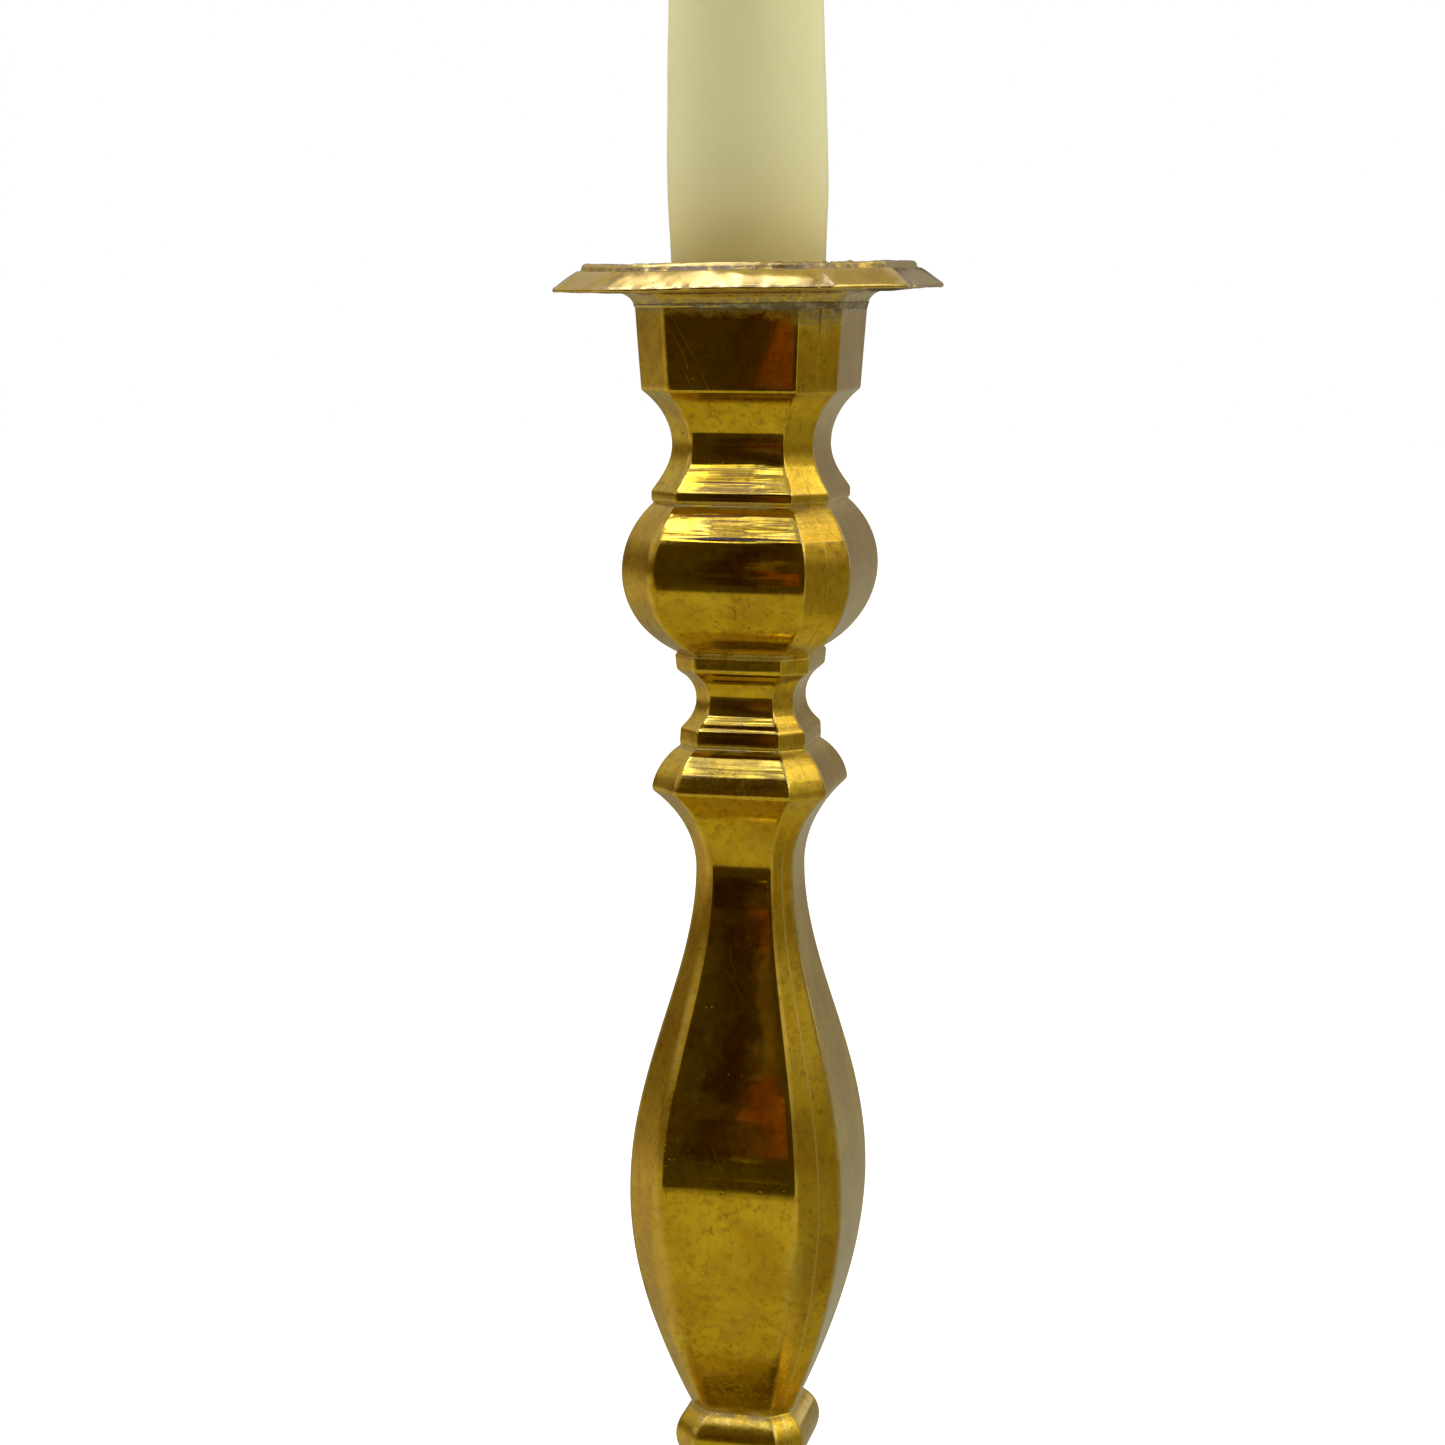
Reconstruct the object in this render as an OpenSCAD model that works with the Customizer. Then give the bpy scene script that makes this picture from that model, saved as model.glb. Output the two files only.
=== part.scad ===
// Altar candlestick in seamed brass, with its push-up ejector and a candle.
//
// The stem is a hollow casting in two halves, brazed together down two
// opposite chamfers. A drip pan is soldered on top of the candle socket, and
// the stem is drawn down onto a hollow foot by a nut on a threaded tenon.
// A rod through the hollow stem carries a disc that lifts the candle stub.
// Every section of stem, pan and foot is a square with its corners cut off.
// Millimetres, +Z up, the table at z = 0, front flat of the stem facing -Y.

/* [Stick] */
// Height of the drip pan's rim above the table
stick_h = 230; // [222:1:245]
// Half of the width across the flats of the foot
foot_w = 52; // [46:1:60]
// Half of the width across the flats of the drip pan
pan_w = 24.8; // [22:0.2:28]
// Wall thickness of the hollow castings
wall = 2.2; // [1.8:0.1:2.6]
// Width of the brazed seam between the stem's halves
seam_w = 0.3; // [0.2:0.1:0.6]

/* [Socket and ejector] */
// Radius of the candle socket
socket_r = 11.2; // [10.6:0.1:11.4]
// Radius of the ejector's rod
rod_r = 2; // [1.5:0.25:2.5]
// How far the ejector can push up
stroke = 17; // [12:1:18]

/* [Candle] */
// Largest radius of the candle, just above the pan
candle_r = 11.25; // [10.5:0.25:12]
// Length of the candle without its wick
candle_len = 203; // [60:1:260]

/* [Hidden] */

cant = 0.66;                 // half flat divided by half width, stem and pan
foot_cant = 0.72;            // the same for the foot
pan_h = 6;                   // drip pan, from the socket's top to its rim
top = stick_h - pan_h;       // top of the stem
seat = top - 182;            // bottom of the stem, on the foot's roof
roof = 3.5;                  // thickness of the foot's roof
ledge = top - 12;            // bottom of the socket
core_floor = top - 164;      // bottom of the hollow in the stem
tenon_r = 5;                 // threaded tenon
guide_gap = 0.08;            // running clearance round the rod
washer_h = 1.6;
nut_h = 5;
nut_af = 16;
disc_h = 1.5;
button_h = 4;
nut_z = seat - roof - washer_h - nut_h;
button_z = nut_z - 1.3 - stroke - button_h;
candle_z = ledge + disc_h;

// ---- curves -------------------------------------------------------------
// Cubic curve through a to d with handles b and c, as n + 1 points.
function bow(a, b, c, d, n) = [for (i = [0 : n]) let (t = i / n, u = 1 - t)
    u*u*u*a + 3*u*u*t*b + 3*u*t*t*c + t*t*t*d];
// Arc of radius r about c, from angle a0 to a1.
function arc(c, r, a0, a1, n) = [for (i = [0 : n]) let (a = a0 + (a1 - a0) * i / n)
    c + r * [cos(a), sin(a)]];
// Canted square of half width w, counter-clockwise.
function canted(w, k) = let (m = k * w)
    [[m, -w], [w, -m], [w, m], [m, w], [-m, w], [-w, m], [-w, -m], [-m, -w]];

// ---- stem profile: [half width, height below the stem's top] ------------
collar_top = [[12.3, -27.05], [12.65, -26.7], [12.65, -25.4], [12.4, -25]];
waist = concat(bow([12.4, -25], [11, -22.9], [10.1, -21.2], [10.1, -18.9], 6),
               bow([10.1, -18.9], [10.1, -16.5], [11.2, -13.6], [13.85, -11.4], 7));
ball = arc([2.8, -36.5], 13.5, -60, 44, 17);
collar_low = [[9, -51.2], [9.5, -50.7], [9.7, -48.6], [9.35, -48.3]];
small_neck = concat(bow([8.7, -58.8], [7.5, -57.6], [7.05, -56.4], [7.05, -55], 5),
                    bow([7.05, -55], [7.05, -53.6], [7.6, -52.2], [9, -51.2], 5));
ring = [[8.95, -61.6], [9.1, -61.2], [9, -59.2], [8.7, -58.8]];
knop = concat([[12.5, -67.9]],
              bow([12.6, -67.4], [12.2, -64.6], [10.2, -62.3], [8.95, -61.6], 6));
long_neck = bow([7.1, -79.6], [7.1, -74.6], [9.6, -70.8], [11.8, -68.6], 7);
vase_top = bow([15.6, -126.6], [15.6, -108], [7.1, -95], [7.1, -79.6], 14);
vase_low = bow([7.5, -160], [12, -149.5], [15.6, -138], [15.6, -126.6], 11);
bead = arc([4.4, -164.6], 5.2, -56, 56, 9);
trumpet = bow([12.7, -179.4], [9.6, -178], [7.5, -175], [7.5, -169.3], 7);
stem_foot = [[13.2, -182], [13.2, -180], [12.7, -179.4]];

function rest(v) = [for (i = [1 : len(v) - 1]) v[i]];
stem_line = concat(stem_foot, rest(trumpet), bead, vase_low, rest(vase_top),
    rest(long_neck), knop, rest(ring), rest(small_neck), rest(collar_low), ball,
    collar_top, rest(waist), [[14.6, 0]]);

// Solid of canted-square rings, one for each [half width, height] of a line.
module loft(line, k, z0 = 0) {
    n = len(line);
    polyhedron(
        points = [for (p = line) for (q = canted(p[0], k)) [q[0], q[1], p[1] + z0]],
        faces = concat(
            [[0, 1, 2, 3, 4, 5, 6, 7]],
            [[for (j = [7 : -1 : 0]) 8 * (n - 1) + j]],
            [for (i = [0 : n - 2]) for (j = [0 : 7]) let (h = (j + 1) % 8)
                [8*i + j, 8*(i + 1) + j, 8*(i + 1) + h, 8*i + h]]));
}

// The hollow inside the stem follows the outside at the wall's thickness.
hollow_line = concat([[9.2, -164], [9.2, -163.6], [7.6, -160.2]],
    bow([7.6, -159.6], [12, -149.5], [15.6, -138], [15.6, -126.6], 8),
    rest(bow([15.6, -126.6], [15.6, -108], [7.2, -95], [7.2, -79.6], 9)),
    rest(bow([7.2, -79.6], [7.2, -74.6], [9.6, -71.2], [11.4, -68.6], 5)),
    [[11.9, -67], [9.3, -61.6], [8.9, -59.4]],
    [[7.4, -56.8], [7.2, -55], [7.4, -53], [9.3, -50.4], [9.9, -48]],
    rest(arc([2.8, -36.5], 13.3, -56, 44, 9)),
    [[12.2, -25.6], [10.8, -22], [10.2, -18.9], [10.3, -16.5], [10.5, -11]]);

module stem_wall() {
    difference() {
        loft(stem_line, cant, top);
        loft([for (p = hollow_line) [p[0] - wall, p[1]]], cant, top);
        translate([0, 0, ledge]) cylinder(h = 40, r = socket_r, $fn = 96);
        translate([0, 0, seat - 1]) cylinder(h = core_floor - seat + 2, r = tenon_r, $fn = 64);
    }
}

// Everything on one side of the seam, which runs through two opposite chamfers.
module beyond_seam(side) {
    rotate([0, 0, -45])
        translate([-60, side > 0 ? -seam_w / 2 : seam_w / 2 - 60, seat - 5])
            cube([120, 60, 200]);
}

module stem_half_front() {
    color([0.72, 0.58, 0.24]) difference() { stem_wall(); beyond_seam(1); }
}

module stem_half_back() {
    color([0.72, 0.58, 0.24]) difference() { stem_wall(); beyond_seam(-1); }
}

// Braze that fills the seam, one strip down each of the two chamfers.
module seam_braze() {
    color([0.84, 0.76, 0.5]) intersection() {
        stem_wall();
        rotate([0, 0, -45]) translate([-60, -seam_w / 2, seat - 5]) cube([120, seam_w, 200]);
    }
}

// ---- drip pan: thin edge, bevel, raised bead and a shallow dish ---------
module drip_pan() {
    color([0.74, 0.6, 0.27]) difference() {
        loft(concat(
            [for (p = arc([17.2, 0], 2.2, 180, 100, 6)) [p[0] - 0.2, p[1] * 0.92]],
            [[17.2, 2.1], [pan_w - 0.1, 2.1], [pan_w, 2.35], [pan_w - 0.3, 2.7]],
            bow([pan_w - 0.3, 2.7], [pan_w - 1.2, 3.5], [pan_w - 2.2, 4.4], [pan_w - 3.1, 5], 5),
            [[pan_w - 3.4, 4.95], [pan_w - 3.5, 5.5], [pan_w - 3.9, pan_h], [pan_w - 4.9, pan_h]]),
            cant, top);
        loft([[pan_w - 6.4, 4.7], [pan_w - 5.4, 5.2], [pan_w - 4.9, pan_h + 0.1]], cant, top);
        translate([0, 0, top - 1]) cylinder(h = 20, r = socket_r, $fn = 96);
    }
}

// Fillet of soft solder under the pan, round the socket's top edge.
module pan_solder() {
    color([0.7, 0.72, 0.62]) difference() {
        loft([[14.6, -1.1], [14.85, -0.7], [15.05, 0]], cant, top);
        loft([[13.85, -11.4], [14.6, 0], [14.66, 1]], cant, top);
    }
}

// ---- foot: hollow casting, open underneath ------------------------------
module base() {
    w = foot_w;
    z1 = seat;
    color([0.7, 0.56, 0.23]) difference() {
        loft(concat(
            [[w, 0], [w, 3.2]],
            rest(arc([w - 5, 3.2], 5, 0, 84, 7)),
            [[w - 5.5, 8.4], [w - 5.5, 9.8], [w - 7.5, 10]],
            rest(bow([w - 7.5, 10], [w - 19, 10.6], [22.6, z1 - 26], [20, z1 - 10.4], 12)),
            [[21, z1 - 10], [21, z1 - 8]],
            bow([20.2, z1 - 7.6], [20.2, z1 - 3.6], [17.5, z1 - 1.4], [15, z1 - 1.1], 5),
            [[15, z1]]), foot_cant);
        loft(concat(
            [[w - wall - 0.3, -1], [w - wall - 0.3, 3], [w - wall - 5, 6.9], [w - wall - 7.5, 7.7]],
            rest(bow([w - wall - 7.5, 7.7], [w - wall - 20, 8.4], [20.4, z1 - 28],
                [17.8, z1 - 11], 9)),
            [[17.6, z1 - 8], [14.4, z1 - roof]]), foot_cant);
        translate([0, 0, z1 - 10]) cylinder(h = 20, r = tenon_r + 0.1, $fn = 64);
    }
}

// ---- fixing under the foot ----------------------------------------------
module stem_tenon() {
    color([0.66, 0.54, 0.26]) difference() {
        translate([0, 0, nut_z - 1]) cylinder(h = core_floor - nut_z + 1, r = tenon_r, $fn = 64);
        translate([0, 0, nut_z - 5]) cylinder(h = 80, r = rod_r + guide_gap, $fn = 48);
    }
}

module base_washer() {
    color([0.62, 0.62, 0.6]) difference() {
        translate([0, 0, seat - roof - washer_h]) cylinder(h = washer_h, r = 12, $fn = 72);
        translate([0, 0, seat - roof - 5]) cylinder(h = 9, r = tenon_r + 0.2, $fn = 64);
    }
}

module base_nut() {
    color([0.68, 0.55, 0.25]) difference() {
        translate([0, 0, nut_z]) cylinder(h = nut_h, r = nut_af / 2 / cos(30), $fn = 6);
        translate([0, 0, nut_z - 1]) cylinder(h = nut_h + 2, r = tenon_r + 0.02, $fn = 64);
    }
}

// ---- push-up ejector ----------------------------------------------------
module ejector_rod() {
    color([0.5, 0.5, 0.5]) translate([0, 0, button_z + 1])
        cylinder(h = candle_z - 0.2 - button_z - 1, r = rod_r, $fn = 48);
}

module ejector_disc() {
    color([0.66, 0.53, 0.24]) difference() {
        translate([0, 0, ledge]) cylinder(h = disc_h, r = socket_r - 0.4, $fn = 96);
        translate([0, 0, ledge - 1]) cylinder(h = disc_h + 2, r = rod_r + 0.02, $fn = 48);
    }
}

module ejector_button() {
    color([0.72, 0.58, 0.26]) difference() {
        translate([0, 0, button_z]) rotate_extrude($fn = 72) polygon(concat(
            [[0, 0], [5.5, 0]], rest(arc([5.5, 1.5], 1.5, -90, 0, 5)),
            rest(arc([5.5, 2.5], 1.5, 0, 90, 5)), [[0, button_h]]));
        translate([0, 0, button_z + 1]) cylinder(h = button_h, r = rod_r + 0.02, $fn = 48);
    }
}

// ---- candle -------------------------------------------------------------
module candle() {
    r = candle_r;
    h = candle_len;
    butt = socket_r - 0.4;   // the end that stands in the socket
    color([0.9, 0.86, 0.7]) translate([0, 0, candle_z]) difference() {
        rotate_extrude($fn = 96) polygon(concat(
            [[0, 0], [butt - 0.3, 0], [butt, 0.4]],
            bow([butt, 14], [butt + 0.1, 20], [r, 24], [r, 27], 4),
            rest(bow([r, 27], [r, 33], [r - 0.35, 44], [r - 0.6, 55], 5)),
            rest(bow([r - 0.6, 55], [r - 1.6, 100], [r - 3.2, 150], [r - 4.4, h - 8], 6)),
            rest(bow([r - 4.4, h - 8], [r - 4.8, h - 3], [r - 6.5, h], [1, h], 8)),
            [[0, h]]));
        translate([0, 0, h - 20]) cylinder(h = 30, r = 1, $fn = 32);
    }
}

module wick() {
    color([0.92, 0.9, 0.84]) translate([0, 0, candle_z + candle_len - 20])
        cylinder(h = 30, r = 0.95, $fn = 32);
}

base();
stem_half_front();
stem_half_back();
seam_braze();
drip_pan();
pan_solder();
stem_tenon();
base_washer();
base_nut();
ejector_rod();
ejector_disc();
ejector_button();
candle();
wick();
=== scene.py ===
import math

import bpy
import numpy as np
from mathutils import Matrix, Vector


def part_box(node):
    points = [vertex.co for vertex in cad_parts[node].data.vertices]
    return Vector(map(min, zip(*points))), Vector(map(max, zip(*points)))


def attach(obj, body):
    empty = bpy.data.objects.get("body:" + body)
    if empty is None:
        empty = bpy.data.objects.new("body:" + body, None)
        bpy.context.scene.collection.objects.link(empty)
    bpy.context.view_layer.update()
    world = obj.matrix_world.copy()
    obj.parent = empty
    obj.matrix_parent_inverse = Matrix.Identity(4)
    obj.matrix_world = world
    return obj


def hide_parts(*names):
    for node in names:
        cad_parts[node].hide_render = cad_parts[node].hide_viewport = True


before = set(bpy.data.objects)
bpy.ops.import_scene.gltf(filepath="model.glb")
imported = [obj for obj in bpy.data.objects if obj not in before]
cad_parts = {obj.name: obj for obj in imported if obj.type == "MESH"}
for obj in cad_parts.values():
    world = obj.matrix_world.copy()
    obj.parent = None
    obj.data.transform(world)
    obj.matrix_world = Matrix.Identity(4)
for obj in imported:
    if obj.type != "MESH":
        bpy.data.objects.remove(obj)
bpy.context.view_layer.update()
MM = 0.001


def half_width(node):
    lo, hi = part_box(node)
    return (hi.x - lo.x) / 2 / MM


def top_of(node):
    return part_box(node)[1].z / MM


def foot_of(node):
    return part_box(node)[0].z / MM


STEM_TOP = top_of("stem_half_front")     # the socket's upper edge
SEAT = foot_of("stem_half_front")        # where the stem stands on the foot
PAN_W = half_width("drip_pan")
PAN_H = top_of("drip_pan") - STEM_TOP
FOOT_W = half_width("base")
CANDLE_FOOT = foot_of("candle")
CANDLE_TOP = top_of("candle")
CANDLE_R = half_width("candle")
CANT = 0.66                              # half flat over half width, stem and pan
FOOT_CANT = 0.72
SOCKET_R = 11.2
SOCKET_FLOOR = -12                       # depths are measured from the stem's top
TENON_TOP = -164
TENON_R = 5.05
WALL = 2.2
SEAM = 0.3


# ---------------------------------------------------------------- camera
AZIMUTH = math.radians(12.5)
DISTANCE = 400.0
ABOVE_STEM = 1.5                         # the camera's height over the stem's top
PITCH = math.radians(8.6)
YAW = math.radians(0.59)
ROLL = math.radians(0.14)
SENSOR = 36
LENS = 2818.0 / 1445.0                   # focal length over the frame's width


def add_camera():
    cam = bpy.data.objects.new("camera", bpy.data.cameras.new("camera"))
    bpy.context.scene.collection.objects.link(cam)
    place = Vector((math.sin(AZIMUTH), -math.cos(AZIMUTH), 0)) * DISTANCE * MM
    place.z = (STEM_TOP + ABOVE_STEM) * MM
    turn = AZIMUTH + YAW
    ahead = Vector((-math.sin(turn) * math.cos(PITCH), math.cos(turn) * math.cos(PITCH),
                    -math.sin(PITCH)))
    side = ahead.cross(Vector((0, 0, 1))).normalized()
    up = side.cross(ahead)
    side, up = (side * math.cos(ROLL) + up * math.sin(ROLL),
                up * math.cos(ROLL) - side * math.sin(ROLL))
    rot = Matrix((side, up, -ahead)).transposed().to_4x4()
    cam.matrix_world = Matrix.Translation(place) @ rot
    cam.data.sensor_width = SENSOR
    cam.data.lens = SENSOR * LENS
    cam.data.clip_start = 0.01
    bpy.context.scene.camera = cam


add_camera()


# ---------------------------------------------------------------- curves
def bow(a, b, c, d, n=40):
    t = np.linspace(0, 1, n + 1)[:, None]
    a, b, c, d = (np.array(p, float) for p in (a, b, c, d))
    u = 1 - t
    return u**3 * a + 3 * u * u * t * b + 3 * u * t * t * c + t**3 * d


def arc(c, r, a0, a1, n=60):
    a = np.radians(np.linspace(a0, a1, n + 1))
    return np.array(c, float) + r * np.stack([np.cos(a), np.sin(a)], 1)


def pts(*p):
    return np.array(p, float)


def smooth_line(line, soft, step=0.05):
    """A polyline walked at an even step, with its corners rounded by about soft mm."""
    keep = np.r_[True, np.hypot(*np.diff(line, axis=0).T) > 1e-6]
    line = line[keep]
    s = np.r_[0, np.cumsum(np.hypot(*np.diff(line, axis=0).T))]
    n = int(s[-1] / step) + 1
    t = np.linspace(0, s[-1], n)
    q = np.stack([np.interp(t, s, line[:, i]) for i in (0, 1)], 1)
    w = int(4 * soft / step)
    kernel = np.exp(-0.5 * (np.arange(-w, w + 1) * step / soft) ** 2)
    kernel /= kernel.sum()
    pad = np.concatenate([q[0] + (q[0] - q[w:0:-1]), q, q[-1] + (q[-1] - q[-2:-w - 2:-1])])
    return np.stack([np.convolve(pad[:, i], kernel, "valid") for i in (0, 1)], 1)


def running_mean(values, side):
    """The mean of each value and its side neighbours on both sides."""
    return np.convolve(np.pad(values, side, mode="edge"), np.ones(2 * side + 1) / (2 * side + 1),
                       "valid")


def pick_rows(line, rows, pull=1.0):
    """Chooses rows along a fine line, closer together where it bends. Also returns how
    much the line bends at each row, convex positive, at a scale of about a millimetre."""
    d = np.gradient(line, axis=0)
    ds = np.hypot(d[:, 0], d[:, 1])
    bend = np.gradient(np.unwrap(np.arctan2(d[:, 1], d[:, 0]))) / ds
    dens = running_mean(1 + pull * np.minimum(np.abs(bend), 4), 4)
    c = np.r_[0, np.cumsum((dens * ds)[1:])]
    index = np.arange(len(c))
    t = np.interp(np.linspace(0, c[-1], rows), c, index)
    at = np.stack([np.interp(t, index, line[:, i]) for i in (0, 1)], 1)
    return at, np.interp(t, index, running_mean(bend, 12))


# ---------------------------------------------------------------- noise
def lattice(i, j, k, seed):
    with np.errstate(over="ignore"):
        h = (i.astype(np.uint64) * np.uint64(0x9E3779B97F4A7C15)
             ^ j.astype(np.uint64) * np.uint64(0xC2B2AE3D27D4EB4F)
             ^ k.astype(np.uint64) * np.uint64(0x165667B19E3779F9)
             ^ np.uint64(seed * 0x27D4EB2F165667C5 % 2**64))
        h ^= h >> np.uint64(29)
        h *= np.uint64(0xBF58476D1CE4E5B9)
        h ^= h >> np.uint64(32)
    return (h & np.uint64(0xFFFFFF)).astype(float) / 0x7FFFFF - 1


def lump(p, size, seed):
    """Smooth noise from -1 to 1 with lumps about size mm across, at points p (n, 3)."""
    q = p / size + 1000.0
    b = np.floor(q).astype(np.int64)
    f = q - b
    f = f * f * f * (f * (f * 6 - 15) + 10)
    out = 0
    for di in (0, 1):
        for dj in (0, 1):
            for dk in (0, 1):
                w = (np.where(di, f[:, 0], 1 - f[:, 0]) * np.where(dj, f[:, 1], 1 - f[:, 1])
                     * np.where(dk, f[:, 2], 1 - f[:, 2]))
                out = out + w * lattice(b[:, 0] + di, b[:, 1] + dj, b[:, 2] + dk, seed)
    return out


def lump_on(g, size, seed):
    """lump() at the points of a grid (rows, cols, 3), as (rows, cols)."""
    return lump(g.reshape(-1, 3), size, seed).reshape(g.shape[:2])


def near(value, a, b, edge):
    """1 between a and b, fading out over edge on both sides."""
    return np.clip(np.minimum(value - a, b - value) / edge + 0.5, 0, 1)


def hump(value, at, wide):
    """1 where value is at, falling away over about wide on both sides."""
    return np.exp(-((value - at) / wide) ** 2)


# ---------------------------------------------------------------- sections
FLAT_STOPS = np.array([0, .03, .1, .22, .36, .5, .64, .78, .9, .97, 1])
SLIM_STOPS = np.array([0, .08, .3, .5, .7, .92, 1])
HALF_STOPS = np.array([0, .25, .6, .88, 1])
ARC_N = 5


def ring(w, cant, soft, flats=FLAT_STOPS, slims=SLIM_STOPS):
    """Canted squares of half widths w, with corners of radius soft, one for all or one for
    each of the eight: (rows, cols, 2). Also how near each column is to the middle of its
    corner, from 0 to 1. The walk starts in the middle of the chamfer at +X -Y,
    counter-clockwise, and comes back to it."""
    w = np.asarray(w, float)
    soft = np.asarray(soft, float)
    if soft.ndim < 2:
        soft = np.broadcast_to(soft, w.shape)[:, None]
    soft = np.broadcast_to(soft, (len(w), 8))
    m = cant * w
    corner = [(w, -m), (w, m), (m, w), (-m, w), (-w, m), (-w, -m), (-m, -w), (m, -w)]
    corner = [np.stack(c, 1) for c in corner]
    cols, mark = [], []

    def run(a, b, stops):
        for s in stops:
            cols.append(a + (b - a) * s)
            mark.append(0.0)

    def unit(v):
        return v / np.maximum(np.hypot(v[:, 0], v[:, 1]), 1e-9)[:, None]

    start = before = (corner[7] + corner[0]) / 2
    for i in range(8):
        c, following = corner[i], corner[(i + 1) % 8]
        u_in, u_out = unit(c - corner[i - 1]), unit(following - c)
        r = soft[:, i:i + 1]
        t = r * math.tan(math.radians(22.5))
        a, b = c - u_in * t, c + u_out * t
        run(before, a, HALF_STOPS if i == 0 else (slims if i % 2 == 0 else flats)[1:])
        n0 = np.stack([u_in[:, 1], -u_in[:, 0]], 1)
        centre = a - n0 * r
        for j in range(1, ARC_N + 1):
            ang = math.radians(45) * j / ARC_N
            n1 = np.stack([n0[:, 0] * math.cos(ang) - n0[:, 1] * math.sin(ang),
                           n0[:, 0] * math.sin(ang) + n0[:, 1] * math.cos(ang)], 1)
            cols.append(centre + n1 * r)
            mark.append(math.sin(math.pi * j / ARC_N) if j < ARC_N else 0.0)
        before = b
    run(before, start, (1 - HALF_STOPS)[::-1][1:])
    return np.stack(cols, 1), np.array(mark)


def lifted(flat, heights):
    """Rings (rows, cols, 2) set at their heights: (rows, cols, 3)."""
    z = np.broadcast_to(heights[:, None, None], flat.shape[:2] + (1,))
    return np.concatenate([flat, z], 2)


def turn_of(g):
    """The angle of each point of a grid round the axis."""
    return np.arctan2(g[..., 1], g[..., 0])


def grid_normals(g, closed):
    if closed:
        du = np.roll(g, -1, 1) - np.roll(g, 1, 1)
    else:
        du = np.gradient(g, axis=1)
    dv = np.gradient(g, axis=0)
    n = np.cross(du, dv)
    return n / np.maximum(np.linalg.norm(n, axis=2), 1e-12)[..., None]


def make_object(name, verts, faces, marks=None, sharp=60):
    mesh = bpy.data.meshes.new(name)
    mesh.from_pydata((np.asarray(verts) * MM).tolist(), [], faces)
    mesh.validate()
    for key, values in (marks or {}).items():
        layer = mesh.attributes.new(key, "FLOAT", "POINT")
        layer.data.foreach_set("value", np.asarray(values, np.float32))
    mesh.polygons.foreach_set("use_smooth", [True] * len(mesh.polygons))
    if sharp:
        mesh.set_sharp_from_angle(angle=math.radians(sharp))
    mesh.update()
    obj = bpy.data.objects.new(name, mesh)
    bpy.context.scene.collection.objects.link(obj)
    return obj


def quads(rows, cols, base, closed, flip):
    r = np.arange(rows - 1)[:, None]
    c = np.arange(cols if closed else cols - 1)[None, :]
    c1 = (c + 1) % cols
    a, b = base + r * cols + c, base + r * cols + c1
    d, e = base + (r + 1) * cols + c, base + (r + 1) * cols + c1
    f = np.stack([a, b, e, d], -1).reshape(-1, 4)
    return f[:, ::-1] if flip else f


def shell_faces(rows, cols, closed):
    """Faces of a solid between two grids. The outer grid's points come first."""
    n = rows * cols
    faces = [quads(rows, cols, 0, closed, False), quads(rows, cols, n, closed, True)]
    c = np.arange(cols if closed else cols - 1)
    c1 = (c + 1) % cols
    last = (rows - 1) * cols
    faces.append(np.stack([c1, c, n + c, n + c1], 1))
    faces.append(np.stack([last + c, last + c1, n + last + c1, n + last + c], 1))
    if not closed:
        r = np.arange(rows - 1)
        a, b = r * cols, (r + 1) * cols
        faces.append(np.stack([a, b, n + b, n + a], 1))
        a, b = a + cols - 1, b + cols - 1
        faces.append(np.stack([b, a, n + a, n + b], 1))
    return np.concatenate(faces)


def shell(name, outer, inner, closed, marks):
    """A closed solid between two grids (rows, cols, 3): the outside and the inside."""
    rows, cols, _ = outer.shape
    n = rows * cols
    verts = np.concatenate([outer.reshape(-1, 3), inner.reshape(-1, 3)])
    full = {k: np.r_[v.ravel(), np.zeros(n)] for k, v in marks.items()}
    full["raw"] = np.r_[np.zeros(n), np.ones(n)]             # the inside stays as cast
    return make_object(name, verts, shell_faces(rows, cols, closed).tolist(), full)


def stands_for(obj, node, body="stand"):
    """Hides the CAD node behind the piece and hangs the piece on the body's empty."""
    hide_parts(node)
    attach(obj, body)
    return obj


# ---------------------------------------------------------------- stem profile
stem_curve = np.concatenate([
    pts([13.2, -182], [13.2, -180], [12.7, -179.4]),
    bow([12.7, -179.4], [9.6, -178], [7.5, -175], [7.5, -169.3]),
    arc([4.4, -164.6], 5.2, -56, 56),
    bow([7.5, -160], [12, -149.5], [15.6, -138], [15.6, -126.6]),
    bow([15.6, -126.6], [15.6, -108], [7.1, -95], [7.1, -79.6]),
    bow([7.1, -79.6], [7.1, -74.6], [9.6, -70.8], [11.8, -68.6]),
    pts([12.5, -67.9]),
    bow([12.6, -67.4], [12.2, -64.6], [10.2, -62.3], [8.95, -61.6]),
    pts([9.1, -61.2], [9, -59.2], [8.7, -58.8]),
    bow([8.7, -58.8], [7.5, -57.6], [7.05, -56.4], [7.05, -55]),
    bow([7.05, -55], [7.05, -53.6], [7.6, -52.2], [9, -51.2]),
    pts([9.5, -50.7], [9.7, -48.6], [9.35, -48.3]),
    arc([2.8, -36.5], 13.5, -60, 44),
    pts([12.3, -27.05], [12.65, -26.7], [12.65, -25.4], [12.4, -25]),
    bow([12.4, -25], [11, -22.9], [10.1, -21.2], [10.1, -18.9]),
    bow([10.1, -18.9], [10.1, -16.5], [11.2, -13.6], [13.85, -11.4]),
    pts([14.6, 0]),
])
fine = smooth_line(stem_curve, 0.16)
fine[0], fine[-1] = stem_curve[0], stem_curve[-1]
stem_rows, stem_bend = pick_rows(fine, 430, 1.1)
stem_z = stem_rows[:, 1] + STEM_TOP
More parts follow.
